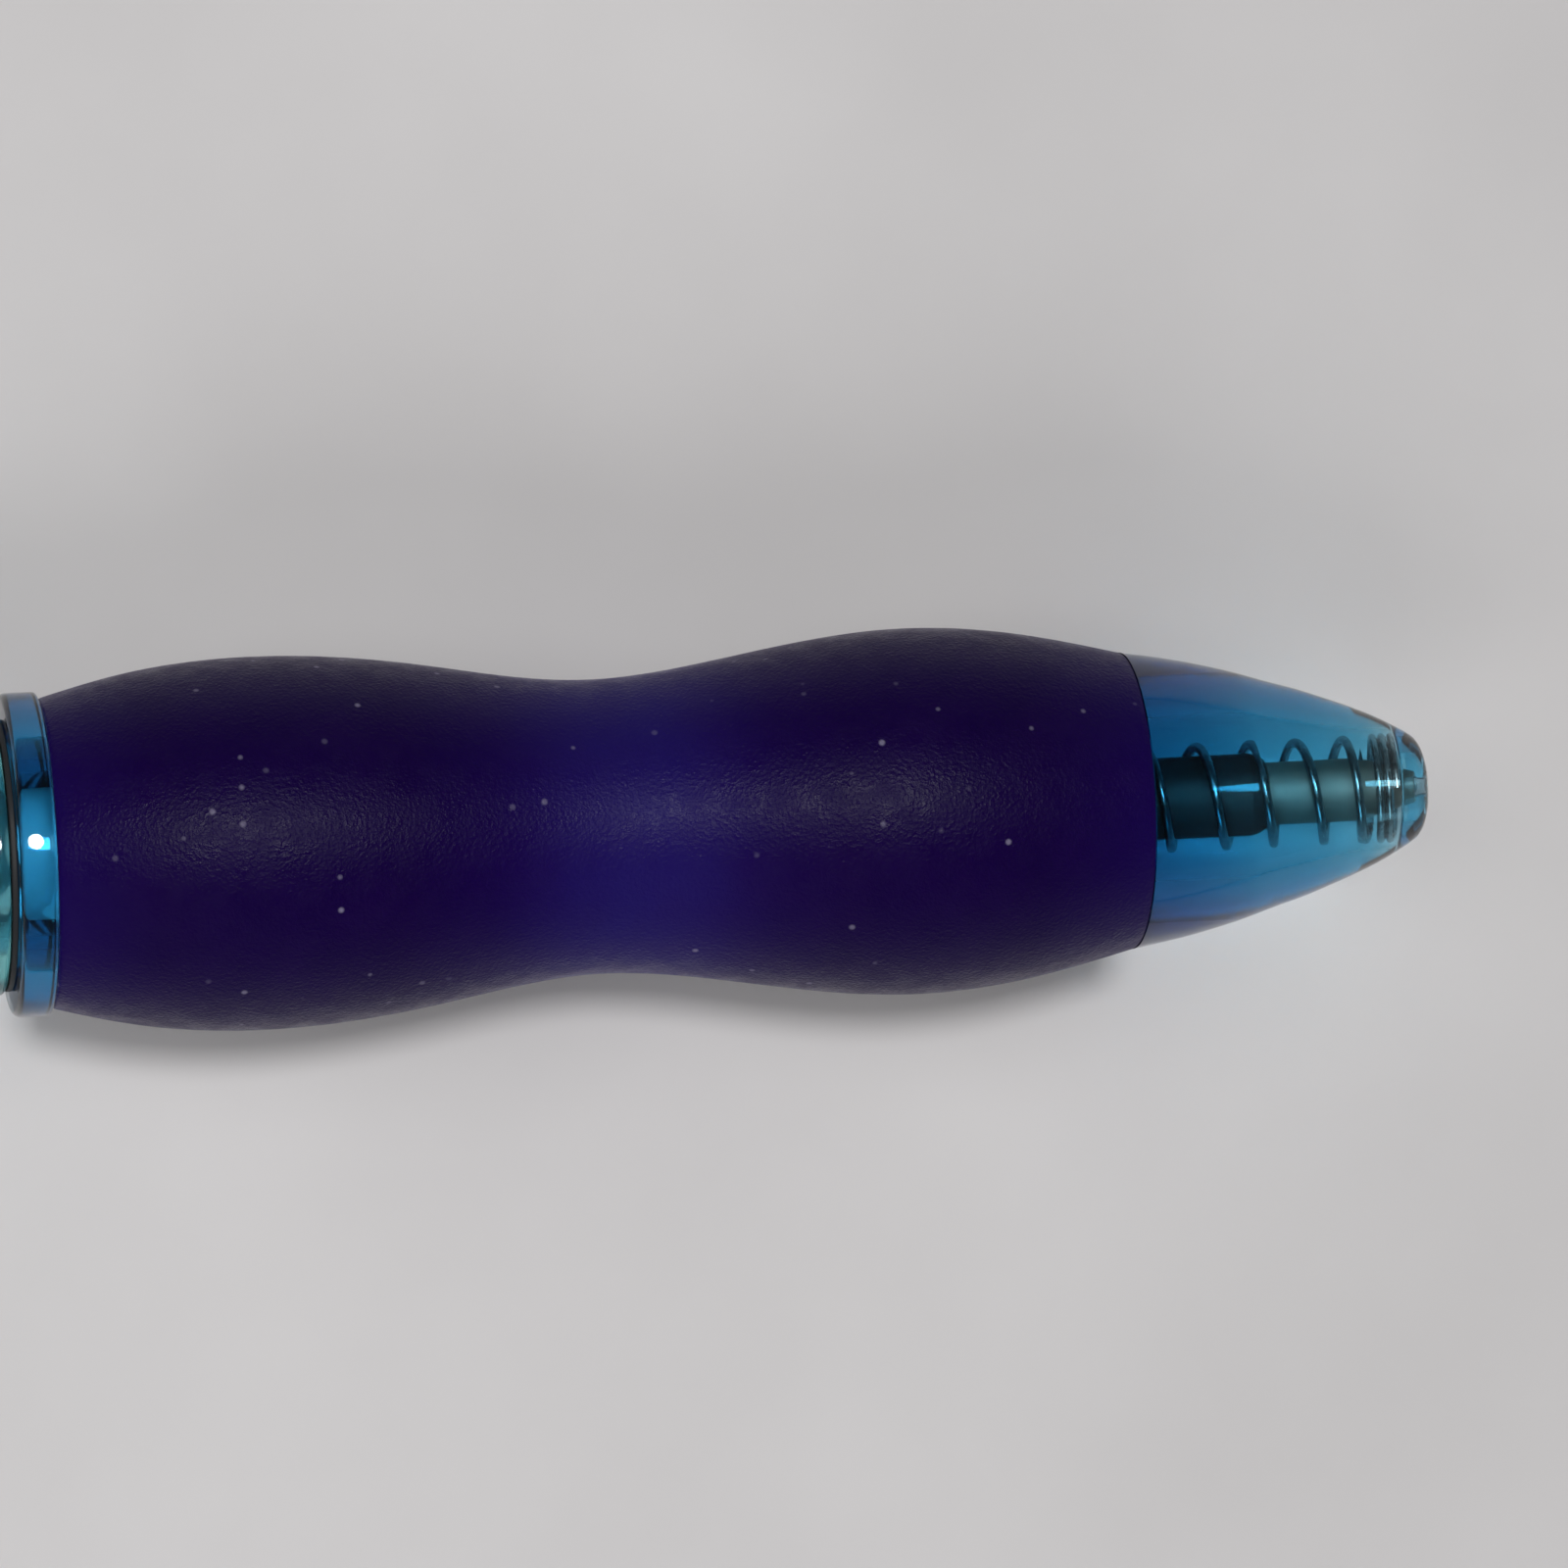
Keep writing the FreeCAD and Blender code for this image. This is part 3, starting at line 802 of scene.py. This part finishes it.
def dimple_cap():
    """The round dimple pressed down out of the clip: the part of a ball below the strip."""
    centre = Vector((along(DIMPLE_BACK), 0, AXIS_HEIGHT + DIMPLE_CENTRE))
    cut_height = -0.41
    low = -math.pi / 2
    high = math.asin(cut_height / DIMPLE_RADIUS)
    rings = []
    for step in range(1, DIMPLE_RINGS + 1):
        tilt = low + (high - low) * step / DIMPLE_RINGS
        flat = DIMPLE_RADIUS * math.cos(tilt)
        up = DIMPLE_RADIUS * math.sin(tilt)
        ring = []
        for k in range(DIMPLE_SIDES):
            angle = 2 * math.pi * k / DIMPLE_SIDES
            offset = Vector((flat * math.cos(angle), flat * math.sin(angle), up))
            ring.append(centre + offset)
        rings.append(ring)
    return sweep("clip_dimple", rings, 50)


def build_button():
    """The thumb button, hollow in front for the plunger's stem."""
    bore_end = 137.5
    outline = [
        (bore_end, 0.0),
        (bore_end, BUTTON_BORE),
        (BUTTON_FRONT, BUTTON_BORE),
        (BUTTON_FRONT, BUTTON_FLANGE, 0.15),
        (BUTTON_FRONT + 1.6, BUTTON_FLANGE, 0.1),
        (BUTTON_FRONT + 1.6, BUTTON_RADIUS),
        (PEN_BACK, BUTTON_RADIUS, 0.8),
        (PEN_BACK, 0.0),
    ]
    install(lathe("button_shell", outline), "button", "push_button", TEAL)


# ---------------------------------------------------------------- refill


def build_point():
    """The turned metal point and its rolling ball."""
    socket_radius = BALL_RADIUS + 0.02
    socket_wrap = math.radians(120)
    socket = []
    for step in range(SOCKET_STEPS + 1):
        angle = socket_wrap * step / SOCKET_STEPS
        back = BALL_BACK + socket_radius * math.cos(angle)
        socket.append((back, socket_radius * math.sin(angle)))
    rim = socket[-1][0]
    point = [
        *socket,
        (rim, 0.56, 0.03),
        (3.0, POINT_RADIUS, 0.2),
        (STEM_FRONT, POINT_RADIUS, 0.06),
        (STEM_FRONT, STEM_RADIUS),
        (STEM_BACK, STEM_RADIUS),
        (STEM_BACK, 0.0),
    ]
    ball = []
    for step in range(BALL_STEPS + 1):
        angle = math.pi * step / BALL_STEPS
        back = BALL_BACK - BALL_RADIUS * math.cos(angle)
        ball.append((back, BALL_RADIUS * math.sin(angle)))
    install(lathe("point_cone", point), "refill", "refill_point", POINT_METAL)
    install(lathe("rolling_ball", ball), "ball", "writing_ball", CARBIDE)


def build_holder():
    """The dark plastic neck, with the flange that the spring pushes on."""
    front = STEM_FRONT + 0.02
    outline = [
        (front, STEM_SOCKET),
        (front, 1.3, 0.1),
        (7.2, NECK_RADIUS, 0.3),
        (FLANGE_FRONT, NECK_RADIUS),
        (FLANGE_FRONT, TUBE_RADIUS, 0.12),
        (FLANGE_BACK, TUBE_RADIUS, 0.12),
        (FLANGE_BACK, TUBE_FILL),
        (PLUG_BACK, TUBE_FILL),
        (PLUG_BACK, NECK_BORE),
        (NECK_BORE_FRONT, NECK_BORE),
        (NECK_BORE_FRONT, STEM_SOCKET),
    ]
    install(lathe("holder_neck", outline), "refill", "point_holder", SMOKE)


def build_tube():
    """The milky tube, the ink inside it and the grease behind the ink."""
    tube_front = FLANGE_BACK + 0.03
    ink_front = NECK_BORE_FRONT + 0.02
    ink_step = PLUG_BACK + 0.03
    ink_back = 82.0
    ink_in_neck = NECK_BORE - 0.02
    tube = [
        (tube_front, TUBE_BORE),
        (tube_front, TUBE_RADIUS, 0.08),
        (TUBE_BACK, TUBE_RADIUS, 0.08),
        (TUBE_BACK, TUBE_BORE),
    ]
    ink = [
        (ink_front, 0.0),
        (ink_front, ink_in_neck),
        (ink_step, ink_in_neck),
        (ink_step, TUBE_FILL),
        (ink_back, TUBE_FILL),
        (ink_back - 0.7, 0.9),
        (ink_back - 0.95, 0.0),
    ]
    grease_front = ink_back + 0.03
    grease = [
        (grease_front - 0.95, 0.0),
        (grease_front - 0.7, 0.9),
        (grease_front, TUBE_FILL),
        (87.0, TUBE_FILL),
        (86.2, 0.0),
    ]
    install(lathe("tube_wall", tube), "refill", "ink_tube", MILKY)
    install(lathe("ink_fill", ink), "refill", "ink_column", INK)
    install(lathe("grease_plug", grease), "refill", "ink_follower", GREASE)


build_front_barrel()
build_grip()
build_collar()
build_rear_barrel()
build_crown()
build_spring()
build_clip()
build_button()
build_point()
build_holder()
build_tube()
for inner_node in ("cam_sleeve", "plunger_cam", "rotor_cam", "refill_plug"):
    dress(inner_node, ACETAL)


# ---------------------------------------------------------------- floor, light and camera


def build_floor():
    """A plain pale table top."""
    reach = 1500
    height = -0.2
    around = [(-reach, -reach), (reach, -reach), (reach, reach), (-reach, reach)]
    floor = new_object("floor", [(x, y, height) for x, y in around], [[0, 1, 2, 3]])
    floor.data.materials.append(table_top())


def area_light(name, place, width, height, power):
    """An oval light aimed at the front half of the pen, in metres and watts."""
    data = bpy.data.lights.new(name, "AREA")
    data.shape = "ELLIPSE"
    data.size = width
    data.size_y = height
    data.energy = power
    obj = bpy.data.objects.new(name, data)
    bpy.context.scene.collection.objects.link(obj)
    obj.location = place
    aim = Vector((0.04, 0.0, 0.0)) - obj.location
    obj.rotation_euler = aim.to_track_quat("-Z", "Y").to_euler()
    return obj


def build_lights():
    """A small lamp nearly overhead, and two soft fills that do not show as reflections."""
    area_light("lamp", (0.035, 0.055, 0.36), width=0.065, height=0.065, power=0.48)
    high_fill = area_light("high_fill", (-0.3, 0.1, 0.55), width=0.4, height=0.4, power=0.95)
    near_fill = area_light("near_fill", (-0.07, -0.22, 0.2), width=0.25, height=0.15, power=0.3)
    high_fill.visible_glossy = False
    near_fill.visible_glossy = False


def build_world():
    """A room that is dark overhead and bright low down, most of all on the near side."""
    world = bpy.data.worlds.new("room")
    world.use_nodes = True
    bpy.context.scene.world = world
    tree = world.node_tree
    place = add_node(tree, "ShaderNodeTexCoord")
    split = add_node(tree, "ShaderNodeSeparateXYZ")
    tree.links.new(place.outputs["Generated"], split.inputs["Vector"])
    low = remap(tree, split.outputs["Z"], (0.05, 0.45), (0.3, 0.1))
    high = remap(tree, split.outputs["Z"], (0.45, 0.8), (1.0, 0.25))
    near = remap(tree, split.outputs["Y"], (-1.0, 1.0), (1.3, 0.7))
    glow = multiply(tree, multiply(tree, low, high), near)
    background = tree.nodes["Background"]
    background.inputs["Color"].default_value = (0.98, 0.98, 1.0, 1)
    tree.links.new(glow, background.inputs["Strength"])


def build_camera():
    """Looking down on the front half of the pen, from a little behind it."""
    distance = 350
    half_view = 28.88
    lean = math.radians(10)
    roll = math.radians(2.77)
    target = Vector((along(24.0), 1.23, AXIS_HEIGHT))
    data = bpy.data.cameras.new("camera")
    data.sensor_fit = "HORIZONTAL"
    data.angle = 2 * math.atan(half_view / distance)
    data.clip_start = 10 * MM
    obj = bpy.data.objects.new("camera", data)
    bpy.context.scene.collection.objects.link(obj)
    away = Vector((-math.sin(lean), 0, math.cos(lean)))
    obj.location = (target + away * distance) * MM
    obj.rotation_mode = "QUATERNION"
    leaned = Euler((0, -lean, 0)).to_quaternion()
    obj.rotation_quaternion = leaned @ Euler((0, 0, -roll)).to_quaternion()
    bpy.context.scene.camera = obj


build_floor()
build_lights()
build_world()
build_camera()
bpy.context.scene.view_settings.view_transform = "Standard"
